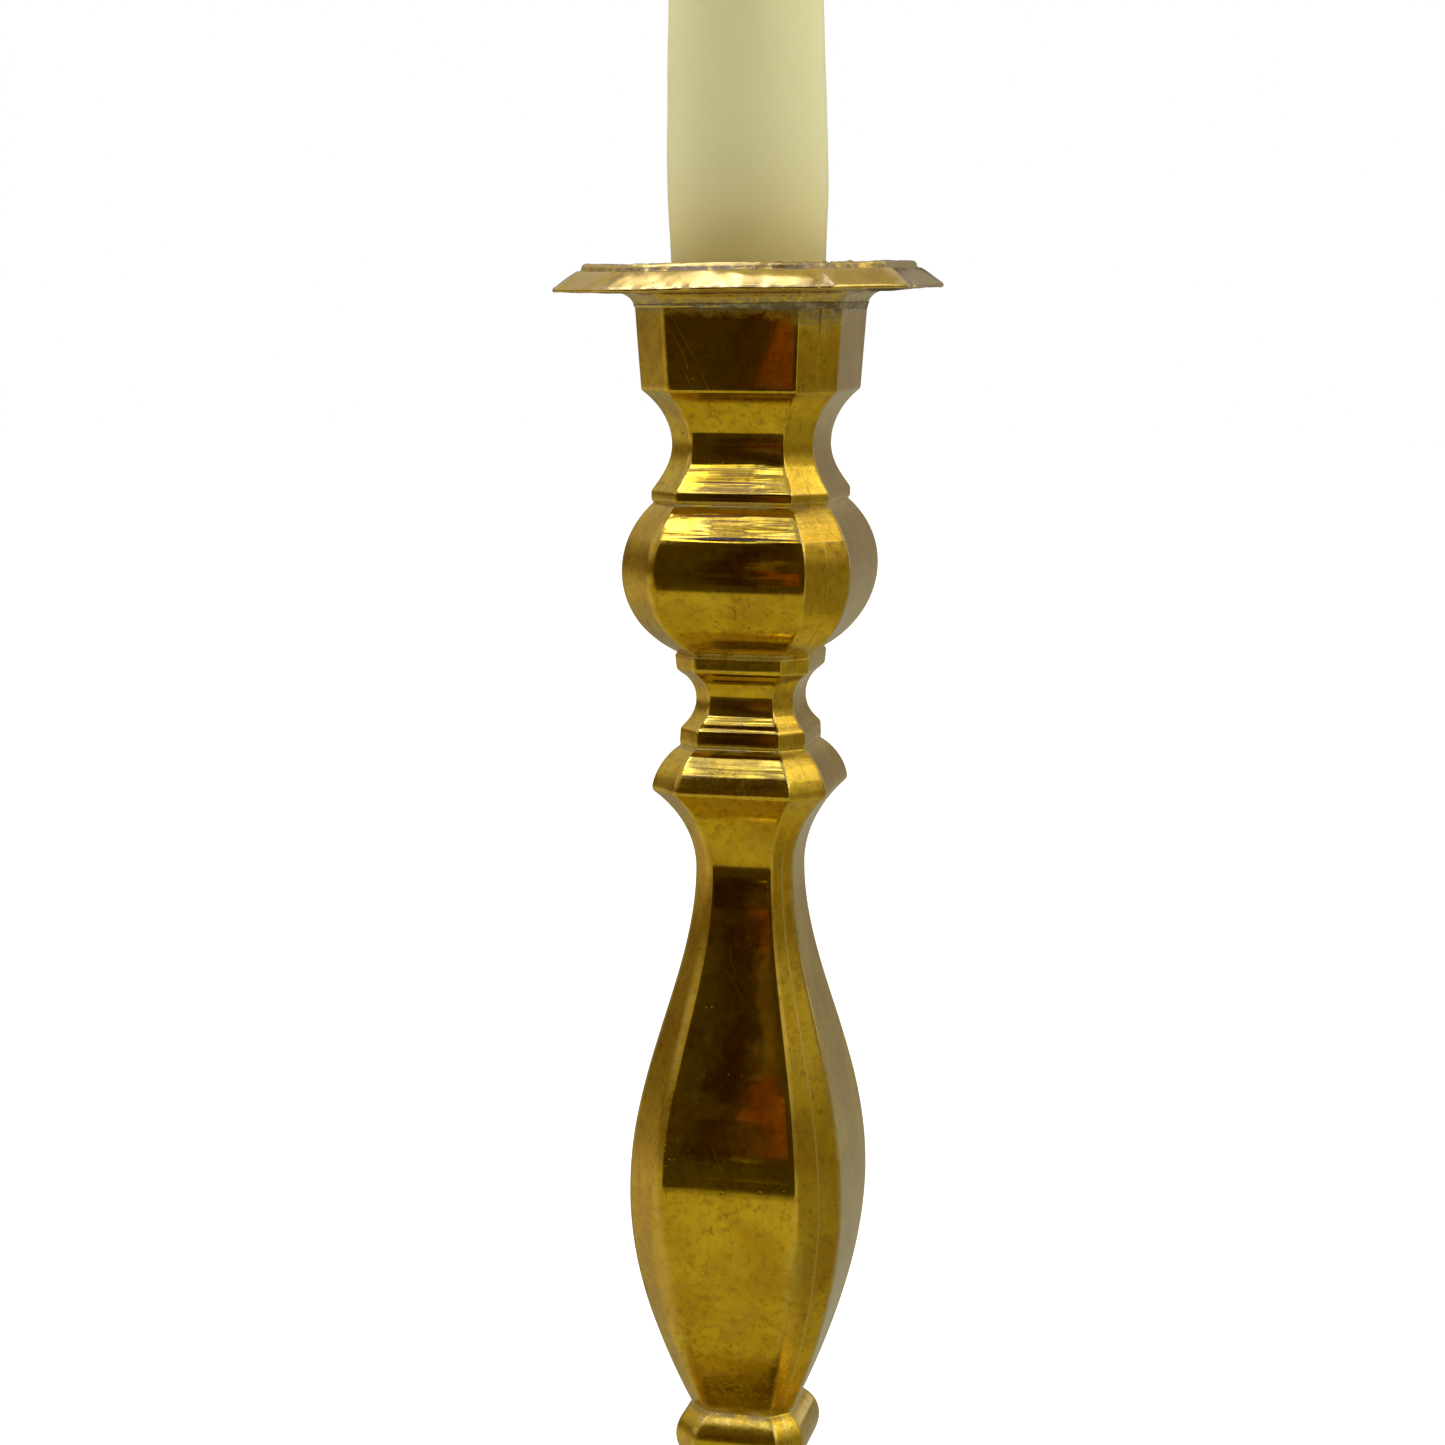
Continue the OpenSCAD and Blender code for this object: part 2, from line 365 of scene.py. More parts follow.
SOFT_AT = np.array([   # depth, radius of the corners
    [-182, .8], [-172, 1], [-159, 1], [-150, 1.6], [-126, 1.8], [-95, 1.7], [-80, 1.4], [-70, 1],
    [-67.5, .7], [-61, .5], [-52, .6], [-48.5, .5], [-46, 0.9], [-40, 1.1], [-31, 1.0],
    [-27, .6], [-24.5, .5], [-19, .7], [-12, .6], [0, .5]])


def up_stem(x):
    """Points up the stem, for noise that changes only with height."""
    return np.stack([np.full_like(stem_z, x), np.zeros_like(stem_z), stem_z], 1)


depth = stem_rows[:, 1]
soft_edge = np.interp(depth, SOFT_AT[:, 0], SOFT_AT[:, 1])
# each corner was filed by hand, so no two are alike
soft_edge = soft_edge[:, None] * [1.05, 1.0, 1.2, 0.85, 0.85, 1.25, 1.2, 0.70]
for i in range(8):
    soft_edge[:, i] *= 1 + 0.2 * lump(up_stem(40 * i), 12, 61)
low_vase = np.interp(depth, [-165, -155, -135, -124], [0, 1, 1, 0])
soft_edge[:, 6] *= 1 + 1.2 * low_vase                # polished away low on the front
soft_edge[:, 7] *= 1 + 2.2 * low_vase
wide_flats = np.interp(depth, [-48, -44, -32, -28], [0, 0.02, 0.02, 0])
flat_ring, corner_mark = ring(stem_rows[:, 0], CANT + wide_flats, soft_edge)
stem_grid = lifted(flat_ring, stem_z)
normal = grid_normals(stem_grid, False)
normal[:, 0] = normal[:, -1] = (normal[:, 1] + normal[:, -2]) / 2
rough = (0.026 * lump_on(stem_grid, 10, 1) + 0.008 * lump_on(stem_grid, 4.5, 2)
         + 0.0015 * lump_on(stem_grid, 1.7, 3))
stem_grid = stem_grid + normal * rough[..., None]

hollow = np.maximum(stem_rows[:, 0] - WALL, 4.7)
hollow[depth < TENON_TOP] = 4.2
inner_ring, _ = ring(hollow, CANT, 0.4)
radius = np.hypot(inner_ring[..., 0], inner_ring[..., 1])
for rows, bore_r in ((depth > SOCKET_FLOOR, SOCKET_R), (depth < TENON_TOP, TENON_R)):
    inner_ring[rows] = inner_ring[rows] / radius[rows][..., None] * bore_r
inner_grid = lifted(inner_ring, stem_z)

drop_z = np.broadcast_to(depth[:, None], stem_grid.shape[:2])
turn_a = turn_of(stem_grid)
seam_side = hump(turn_a, -math.pi / 4, 0.27)
quarter = np.abs(np.mod(np.degrees(turn_a), 90) - 45)       # 0 mid-chamfer, 45 mid-flat
grime = np.broadcast_to(np.clip(-stem_bend * 1.2, 0, 1)[:, None], stem_grid.shape[:2])
wear = np.clip(corner_mark[None, :] * 0.8 + np.clip(stem_bend * 0.6, 0, 1)[:, None], 0, 1)
haze = np.clip(1 + drop_z / (2.6 + 5.0 * seam_side), 0, 1) * (0.88 + 0.14 * seam_side)
filed = near(drop_z, -32.5, -27.4, 1.5) + near(drop_z, -24.8, -21.6, 0.8) + 0.6 * near(
    drop_z, -67.2, -62, 1)
filed = filed * np.clip(0.55 - 0.8 * lump_on(stem_grid, 9, 63), 0, 1)
satin = 0.02 + 0.55 * np.clip((15 - quarter) / 7, 0, 1)
for much, low, high, edge in (    # how satin, between which depths, fading over edge
        (0.50, -47.5, -38, 3), (0.45, -174, -131, 10), (0.45, -79, -66, 3),
        (0.60, -50, -46, 1.5), (0.15, -163, -151, 4), (0.40, -16, -11.2, 2),
        (0.30, -55, -51, 1), (0.40, -181, -171, 3)):
    satin = satin + much * near(drop_z, low, high, edge)
satin = np.clip(satin + (0.12 + 0.3 * satin) * lump_on(stem_grid, 13, 64), 0, 1)
stem_marks = {"grime": grime, "wear": wear, "haze": haze, "filed": filed, "satin": satin}

cols = stem_grid.shape[1]
half = (cols - 1) // 2
SEAM_DIR = np.array([math.sqrt(0.5), math.sqrt(0.5), 0])   # across the seam's plane


def open_seam(g, side):
    g = g.copy()
    for c in (0, -1):
        off = g[:, c] @ SEAM_DIR
        g[:, c] += (side * SEAM / 2 - off)[:, None] * SEAM_DIR
    return g


def stem_half(name, node, a, b, side):
    return stands_for(
        shell(name, open_seam(stem_grid[:, a:b], side), open_seam(inner_grid[:, a:b], side),
              False, {k: v[:, a:b] for k, v in stem_marks.items()}), node)


stem_back = stem_half("stem_back_cast", "stem_half_back", 0, half + 1, 1)
stem_front = stem_half("stem_front_cast", "stem_half_front", half, cols, -1)
halfway = stem_grid[len(stem_grid) // 2, half]
assert abs(halfway[0] + halfway[1]) < 0.3, "seam is off the corner"


# ---------------------------------------------------------------- seam
def seam_strips():
    """The braze in the seam: one thin strip down each of the two chamfers."""
    verts, faces = [], []
    across = np.linspace(-1, 1, 5)
    along = np.array([math.sqrt(0.5), -math.sqrt(0.5), 0])
    sideways = (across * (SEAM / 2))[:, None] * SEAM_DIR
    for turn, col in ((1, 0), (-1, half)):
        out = (stem_grid[:, col] @ along) * turn
        ins = (inner_grid[:, col] @ along) * turn
        bulge = 0.008 + 0.006 * lump(up_stem(5 * turn), 3, 11)[:, None] - 0.006 * across ** 2
        outer = (out[:, None] + bulge)[..., None] * along * turn + sideways
        inner = ins[:, None, None] * along * turn + sideways
        for g in (outer, inner):
            g[..., 2] = stem_z[:, None]
        if turn < 0:
            outer, inner = outer[:, ::-1], inner[:, ::-1]
        faces.append(shell_faces(*outer.shape[:2], False) + sum(len(v) for v in verts))
        verts += [outer.reshape(-1, 3), inner.reshape(-1, 3)]
    obj = make_object("seam_line", np.concatenate(verts), np.concatenate(faces).tolist())
    return stands_for(obj, "seam_braze")


seam_line = seam_strips()


# ---------------------------------------------------------------- round-to-canted shells
def swept(line, cant, soft, round_at, canted_at, flats, slims):
    """Grid of a closed or open line [half width, height] carried round the canted square.
    Points nearer than round_at are on a circle; beyond canted_at they are canted."""
    g, mark = ring(line[:, 0], cant, np.minimum(soft, line[:, 0] * 0.2), flats, slims)
    g, mark = g[:, :-1], mark[:-1]
    r = np.hypot(g[..., 0], g[..., 1])
    b = np.clip((canted_at - line[:, 0]) / (canted_at - round_at), 0, 1)
    b = (b * b * (3 - 2 * b))[:, None]
    g = g * ((r * (1 - b) + line[:, :1] * b) / r)[..., None]
    return lifted(g, line[:, 1]), mark


def loop_object(name, g, marks):
    """A closed tube-like solid: the grid's rows come back to the first row."""
    rows, cols, _ = g.shape
    r, c = np.arange(rows)[:, None], np.arange(cols)[None, :]
    r1, c1 = (r + 1) % rows, (c + 1) % cols
    f = np.stack([r * cols + c, r * cols + c1, r1 * cols + c1, r1 * cols + c], -1).reshape(-1, 4)
    return make_object(name, g.reshape(-1, 3), f.tolist(), {k: v.ravel() for k, v in marks.items()})


def about_view_axis(obj, degrees, pivot):
    """Turns a mesh a little about the line that points at the camera."""
    axis = Vector((math.sin(AZIMUTH), -math.cos(AZIMUTH), 0))
    p = Vector(pivot) * MM
    obj.data.transform(Matrix.Translation(p) @ Matrix.Rotation(math.radians(degrees), 4, axis)
                       @ Matrix.Translation(-p))


# ---------------------------------------------------------------- drip pan
PAN_TILT = 0.7
# nicks in the pan's thin outer edge: angle, width and depth
NICKS = ((-1.02, 0.02, 0.35), (-1.75, 0.015, 0.22), (-0.42, 0.03, 0.3),
         (-2.45, 0.02, 0.28), (0.9, 0.02, 0.3), (2.3, 0.03, 0.35))


def drip_pan():
    w = PAN_W
    line = np.concatenate([
        pts([SOCKET_R, 0.3], [SOCKET_R + 0.2, 0.05], [14.1, 0], [14.6, 0.05]),
        arc([17.05, 0.1], 2.35, 177, 100, 12) * [1, 0.9] + [0, 0.01],
        pts([17.4, 2.08], [w - 0.25, 2.1]),
        bow([w - 0.15, 2.1], [w, 2.15], [w, 2.6], [w - 0.3, 2.75], 8),
        bow([w - 0.3, 2.75], [w - 1.2, 3.5], [w - 2.2, 4.4], [w - 3.1, 5], 12),
        pts([w - 3.35, 4.85], [w - 3.5, 5.3]),
        bow([w - 3.55, 5.5], [w - 3.7, 6.25], [w - 4.7, 6.3], [w - 5.1, 5.7], 10),
        pts([w - 5.5, 5.1], [w - 6.6, 4.7], [14.5, 4.6], [12.1, 4.62]),
        bow([12.1, 4.62], [11.5, 4.66], [SOCKET_R, 4.6], [SOCKET_R, 4.1], 6),
        pts([SOCKET_R, 0.3])])
    rows, bend = pick_rows(smooth_line(line, 0.09), 150, 1.2)
    rows, bend = rows[:-1], bend[:-1]
    flats = np.r_[0, .02, np.linspace(.05, .95, 37), .98, 1]
    slims = np.r_[0, .05, np.linspace(.12, .88, 15), .95, 1]
    g, mark = swept(rows, CANT, 0.5 + 4.2 * np.clip((rows[:, 0] - 17) / 4, 0, 1), 12.3, 14.4,
                    flats, slims)
    n = grid_normals(g, True)
    big, mid, small, tiny = (lump_on(g, size, seed) for size, seed in (
        (11, 21), (3.2, 22), (1.1, 23), (0.55, 24)))
    out = np.clip((rows[:, 0] - 18) / 5, 0, 1)[:, None]
    bead = hump(rows[:, 0], w - 4.3, 0.9)[:, None] * (rows[:, 1] > 4.9)[:, None]
    rim = hump(rows[:, 0], w, 0.5)[:, None]
    ang = turn_of(g)
    gnaw = hump(ang, -math.radians(52), 0.33) + 0.5 * hump(ang, -2.2, 0.2)
    move = 0.03 * mid + 0.012 * small
    move = move + rim * (0.05 * mid + 0.05 * small)
    move = move - bead * (0.06 * (1 + mid) + gnaw * (0.35 + 0.34 * small + 0.29 * tiny)
                          + 0.018 * (small + tiny))
    g = g + n * move[..., None]
    g[..., 2] += out * (0.16 * big + 0.22) + out * 0.10 * np.cos(2 * ang + 0.8)
    g[..., 2] += out * 0.42 * hump(ang, 0.5, 0.5)
    for at, wide, deep in NICKS:
        g[..., :2] *= (1 - hump(ang, at, wide) * rim * deep / w)[..., None]
    g[..., 2] += STEM_TOP
    wear_p = np.clip(mark[None, :] * 0.7 + np.clip(bend * 0.35, 0, 1)[:, None], 0, 1)
    low = ((rows[:, 1] > 4.4) & (rows[:, 0] < w - 2.9))[:, None]
    collar = ((rows[:, 1] < 1.9) & (rows[:, 0] > 14) & (rows[:, 0] < 17.2))[:, None]
    # a painted line of shade on the collar just above the solder, where the pan's underside meets
    # the socket
    crease_shade = collar * hump(rows[:, 1], 0.85, 0.3)[:, None] * 0.55
    over_seam = collar * hump(ang, -0.5, 0.6) * 0.35
    # the pan's grime mark: residue in the creases, on the collar, over the seam and in the gnawed
    # bead, plus the painted shade line on the collar
    pan_grime_and_shade = np.clip(np.clip(-bend * 0.4, 0, 1)[:, None] + low * 0.35 * (1 - bead) + collar * 0.26
                      + crease_shade + over_seam + gnaw * bead * 0.8, 0, 1)
    obj = loop_object("drip_pan_cast", g, {"wear": wear_p, "grime": pan_grime_and_shade})
    about_view_axis(obj, PAN_TILT, (0, 0, STEM_TOP))
    return stands_for(obj, "drip_pan")


pan = drip_pan()


def pan_solder():
    """A thin fillet of soft solder under the pan, with a lumpy run down over the seam."""
    heights = np.linspace(-0.16, 0.50, 16)
    t = np.linspace(0, 1, len(heights))
    w = 14.6 + heights * 0.066                           # the socket's sides, which flare
    g, _ = ring(w, CANT, 0.5, np.linspace(0, 1, 61), np.linspace(0, 1, 31))
    g = lifted(g[:, :-1], heights)
    n = grid_normals(g, True)
    n[..., 2] = 0
    n /= np.linalg.norm(n, axis=2)[..., None]
    over_seam = hump(turn_of(g), -math.pi / 4, 0.25)
    edge = g[0] * [1, 1, 0]
    drop = 0.22 * lump(edge, 2.2, 34) + over_seam[0] * (0.30 + 0.7 * lump(edge, 1.0, 35))
    g[..., 2] -= (1 - t)[:, None] * np.maximum(drop, -0.3)[None, :]
    rise = math.sin(math.radians(PAN_TILT)) * (
        g[0, :, 0] * math.cos(AZIMUTH) + g[0, :, 1] * math.sin(AZIMUTH))
    g[..., 2] += t[:, None] * (rise + 0.06)[None, :]
    fine_lump, wide_lump = lump_on(g, 0.8, 33), lump_on(g, 1.9, 32)
    top = t[:, None] ** 2 * 0.25
    body = np.sin(math.pi * np.clip(t * 0.8, 0, 1))[:, None]
    thick = top + body * (0.02 + 0.015 * wide_lump + over_seam * (0.05 + 0.06 * fine_lump))
    outer = g + n * np.maximum(thick, 0.006)[..., None]
    inner = g * [0.985, 0.985, 1]
    for a in (outer, inner):
        a[..., 2] += STEM_TOP
    obj = shell("pan_solder_bead", outer, inner, True, {"run": over_seam})
    return stands_for(obj, "pan_solder")


solder = pan_solder()


# ---------------------------------------------------------------- foot
def foot():
    w, z1 = FOOT_W, SEAT
    outer_line = np.concatenate([
        pts([w - 1.6, 0.0], [w - 0.4, 0.0], [w, 0.5], [w, 3.2]),
        arc([w - 5, 3.2], 5, 2, 84, 16),
        pts([w - 5.5, 8.4], [w - 5.5, 9.8], [w - 7.5, 10]),
        bow([w - 7.5, 10], [w - 19, 10.6], [22.6, z1 - 26], [20, z1 - 10.4], 40),
        pts([21, z1 - 10], [21, z1 - 8]),
        bow([20.2, z1 - 7.6], [20.2, z1 - 3.6], [17.5, z1 - 1.4], [15, z1 - 1.1], 16),
        pts([14.8, z1], [13.2, z1], [5.1, z1])])
    inner_line = np.concatenate([
        pts([w - 1.8, 0.02], [w - WALL - 0.3, 0.4], [w - WALL - 0.3, 3], [w - WALL - 5, 6.9],
            [w - WALL - 7.5, 7.7]),
        bow([w - WALL - 7.5, 7.7], [w - WALL - 20, 8.4], [20.4, z1 - 28], [17.8, z1 - 11], 30),
        pts([17.6, z1 - 8], [14.4, z1 - 3.5], [5.1, z1 - 3.5])])
    out_rows, bend = pick_rows(smooth_line(outer_line, 0.2), 170, 0.9)
    in_rows, _ = pick_rows(smooth_line(inner_line, 0.5), 170, 0.2)
    out_rows[:, 1] = np.maximum(out_rows[:, 1], 0)
    in_rows[:, 1] = np.maximum(in_rows[:, 1], 0.02)
    flats = np.r_[0, .012, .04, np.linspace(.1, .9, 13), .96, .988, 1]
    slims = np.r_[0, .03, .12, .3, .5, .7, .88, .97, 1]
    g, mark = swept(out_rows, FOOT_CANT, 0.9, 5.5, 12.5, flats, slims)
    h, _ = swept(in_rows, FOOT_CANT, 1.5, 5.5, 12.5, flats, slims)
    n = grid_normals(g, True)
    move = 0.06 * lump_on(g, 16, 41) + 0.02 * lump_on(g, 5, 42)
    move = move * np.clip(out_rows[:, 1], 0, 1)[:, None] * (out_rows[:, 0] > 15)[:, None]
    g = g + n * np.minimum(move, 0)[..., None]           # inwards only, to stay in the CAD's box
    wear_f = np.clip(mark[None, :] * 0.8 + np.clip(bend * 0.6, 0, 1)[:, None], 0, 1)
    grime_f = np.broadcast_to(np.clip(-bend * 1.1, 0, 1)[:, None], g.shape[:2])
    obj = shell("foot_cast", g, h, True, {"wear": wear_f, "grime": grime_f})
    return stands_for(obj, "base")


foot_piece = foot()


# ---------------------------------------------------------------- candle
def lathe(name, line, cols, wobble, seed):
    """Round solid from a line [radius, height] that starts and ends on the axis."""
    a = np.linspace(0, 2 * math.pi, cols, endpoint=False)
    body = line[1:-1]
    g = np.stack([body[:, :1] * np.cos(a), body[:, :1] * np.sin(a),
                  np.broadcast_to(body[:, 1:], (len(body), cols))], 2)
    g[..., :2] *= (1 + wobble * lump_on(g, 6, seed) / np.maximum(body[:, :1], 1))[..., None]
    rows = len(body)
    verts = np.concatenate([g.reshape(-1, 3), [[0, 0, line[0, 1]], [0, 0, line[-1, 1]]]])
    faces = quads(rows, cols, 0, True, False).tolist()
    lo, hi, last = rows * cols, rows * cols + 1, (rows - 1) * cols
    for c in range(cols):
        c1 = (c + 1) % cols
        faces.append([lo, c1, c])
        faces.append([hi, last + c, last + c1])
    return make_object(name, verts, faces)


CANDLE_LEAN = 0.79
CANDLE_SHIFT = -0.39


def lean(obj):
    """Shifts and tilts the candle or its wick, which stand a little askew in the socket."""
    side = Vector((math.cos(AZIMUTH), math.sin(AZIMUTH), 0))
    obj.data.transform(Matrix.Translation(side * CANDLE_SHIFT * MM))
    about_view_axis(obj, CANDLE_LEAN, (side.x * CANDLE_SHIFT, side.y * CANDLE_SHIFT, CANDLE_FOOT))


def candle():
    r, butt = CANDLE_R, SOCKET_R - 0.4
    h = CANDLE_TOP - CANDLE_FOOT
    line = np.concatenate([
        pts([0, 0], [butt - 0.3, 0], [butt, 0.4]),
        bow([butt, 14], [butt + 0.1, 20], [r, 24], [r, 27], 20),
        bow([r, 27], [r, 33], [r - 0.25, 44], [r - 0.6, 55], 20),
        bow([r - 0.6, 55], [r - 1.9, 100], [r - 3.2, 150], [r - 4.4, h - 8], 30),
        bow([r - 4.4, h - 8], [r - 4.8, h - 3], [r - 6.5, h], [1, h], 30),
        pts([0, h])])
    rows, _ = pick_rows(smooth_line(line, 0.35), 190, 0.8)
    rows[0], rows[-1] = (0, 0), (0, h - 0.1)
    rows[:, 1] += CANDLE_FOOT
    rows[:, 0] = np.maximum(rows[:, 0], 0)
    obj = lathe("candle_taper", rows, 112, 0.05, 51)
    lean(obj)
    return stands_for(obj, "candle", "candle_and_wick")


candle_piece = candle()


def wick():
    """Three strands of waxed cotton twisted together."""
    verts, faces = [], []
    base_z, tip_z = CANDLE_TOP - 4, top_of("wick") - 0.35
    strands, twists, steps, around = 3, 5, 90, 10
    t = np.linspace(0, 1, steps)
    z = base_z + (tip_z - base_z) * t
    taper = np.where(t > 0.93, 1 - (t - 0.93) / 0.07 * 0.45, 1.0)
    a = np.linspace(0, 2 * math.pi, around, endpoint=False)
    for s in range(strands):
        turn = t * 2 * math.pi * twists + s * 2 * math.pi / strands
        mid = np.stack([0.42 * taper * np.cos(turn), 0.42 * taper * np.sin(turn), z], 1)
        tan = np.gradient(mid, axis=0)
        tan /= np.linalg.norm(tan, axis=1)[:, None]
        u = np.cross(tan, [0, 0, 1.0])
        u /= np.linalg.norm(u, axis=1)[:, None]
        v = np.cross(tan, u)
        g = (mid[:, None] + 0.46 * taper[:, None, None]
             * (np.cos(a)[None, :, None] * u[:, None] + np.sin(a)[None, :, None] * v[:, None]))
        n0 = s * steps * around
        verts.append(g.reshape(-1, 3))
        faces += quads(steps, around, n0, True, True).tolist()
        faces.append(list(range(n0, n0 + around)))
        faces.append([n0 + (steps - 1) * around + c for c in reversed(range(around))])
    obj = make_object("wick_twist", np.concatenate(verts), faces)
    lean(obj)
    return stands_for(obj, "wick", "candle_and_wick")


wick_piece = wick()


# ---------------------------------------------------------------- materials
class Tree:
    """Short names for the node types that the materials and the room are made of."""

    def __init__(self, name, world=False):
        self.owner = (bpy.data.worlds if world else bpy.data.materials).new(name)
        self.owner.use_nodes = True
        self.nodes, self.links = self.owner.node_tree.nodes, self.owner.node_tree.links
        self.shader = self.nodes["Background" if world else "Principled BSDF"]
        self.output = self.nodes["World Output" if world else "Material Output"]
        kind = "Generated" if world else "Object"
        self.place = self.nodes.new("ShaderNodeTexCoord").outputs[kind]

    def put(self, socket, value):
        if isinstance(value, bpy.types.NodeSocket):
            self.links.new(value, socket)
        else:
            socket.default_value = (*value, 1) if socket.type == "RGBA" else value

    def mapped(self, kind, scale, spin):
        n = self.nodes.new("ShaderNodeMapping")
        n.vector_type = kind
        n.inputs["Scale"].default_value = scale
        n.inputs["Rotation"].default_value = [math.radians(a) for a in spin]
        self.links.new(self.place, n.inputs["Vector"])
        return n.outputs["Vector"]

    def stretch(self, x, y, z, turn=0.0):
        """Place scaled by x, y and z, then turned by turn about Z."""
        return self.mapped("POINT", (x, y, z), (0, 0, turn))

    def along(self, x, y, z, tip=0.0, turn=0.0):
        """Place turned by tip about Y and turn about Z, then scaled by x, y and z."""
        return self.mapped("TEXTURE", (1 / x, 1 / y, 1 / z), (0, tip, turn))

    def scratches(self, tip, size=1.6, width=0.010):
        """Hairlines that run near one direction, tip degrees from upright."""
        n = self.noise(size, 0.0, 0.5, self.along(1, 1, 0.07, tip), 0.3)
        off = self.do("ABSOLUTE", self.do("SUBTRACT", n, 0.5))
        return self.map(off, width, width * 0.3)

    def noise(self, size, detail=2.0, rough=0.5, vec=None, warp=0.0):
        """Noise with features about size mm across, from 0 to 1."""
        n = self.nodes.new("ShaderNodeTexNoise")
        n.inputs["Scale"].default_value = 1000.0 / size
        n.inputs["Detail"].default_value = detail
        n.inputs["Roughness"].default_value = rough
        n.inputs["Distortion"].default_value = warp
        self.put(n.inputs["Vector"], vec or self.place)
        return n.outputs["Fac"]

    def dots(self, size):
        """Distance from the nearest of many points, about size mm apart."""
        n = self.nodes.new("ShaderNodeTexVoronoi")
        n.inputs["Scale"].default_value = 1000.0 / size
        self.put(n.inputs["Vector"], self.place)
        return n.outputs["Distance"]

    def pits(self, size, rim, floor, patch, low, high):
        """Pits from rim to floor round the dots, only where the patch noise is high."""
        return self.times(self.map(self.dots(size), rim, floor), self.map(patch, low, high))

    def map(self, value, a, b, c=0.0, d=1.0):
        """Smooth step from c to d as the value goes from a to b."""
        n = self.nodes.new("ShaderNodeMapRange")
        n.interpolation_type = "SMOOTHSTEP"
        self.put(n.inputs["Value"], value)
        for key, v in zip(("From Min", "From Max", "To Min", "To Max"), (a, b, c, d)):
            n.inputs[key].default_value = v
        return n.outputs["Result"]

    def window(self, value, low, high, blur):
        """1 between low and high, smooth over blur on each side of both."""
        return self.times(self.map(value, low - blur, low + blur),
                          self.map(value, high + blur, high - blur))

    def do(self, op, a, b=0.0, clamp=False):
        n = self.nodes.new("ShaderNodeMath")
        n.operation = op
        n.use_clamp = clamp
        self.put(n.inputs[0], a)
        self.put(n.inputs[1], b)
        return n.outputs[0]

    def times(self, a, b):
        return self.do("MULTIPLY", a, b)

    def more(self, value, extra, much, clamp=False):
        """The value plus much times extra."""
        return self.do("ADD", value, self.times(extra, much), clamp)

    def mix(self, fac, a, b):
        n = self.nodes.new("ShaderNodeMix")
        n.data_type = "RGBA"
        for socket, v in ((n.inputs[0], fac), (n.inputs[6], a), (n.inputs[7], b)):
            self.put(socket, v)
        return n.outputs[2]

    def over(self, tone, where, much, colour):
        """The tone with the colour laid over it, by much at most."""
        return self.mix(self.times(where, much), tone, colour)

    def attr(self, name):
        n = self.nodes.new("ShaderNodeAttribute")
        n.attribute_name = name
        return n.outputs["Fac"]

    def axes(self):
        """X, Y and Z of the place, in metres."""
        n = self.nodes.new("ShaderNodeSeparateXYZ")
        self.links.new(self.place, n.inputs[0])
        return n.outputs[0], n.outputs[1], n.outputs[2]

    def bump(self, height, mm, before=None):
        n = self.nodes.new("ShaderNodeBump")
        n.inputs["Distance"].default_value = mm * MM
        n.inputs["Strength"].default_value = 1.0
        self.put(n.inputs["Height"], height)
        if before is not None:
            self.links.new(before, n.inputs["Normal"])
        return n.outputs["Normal"]

    def finish(self, **values):
        for key, v in values.items():
            self.put(self.shader.inputs[key.replace("_", " ")], v)
        return self.owner


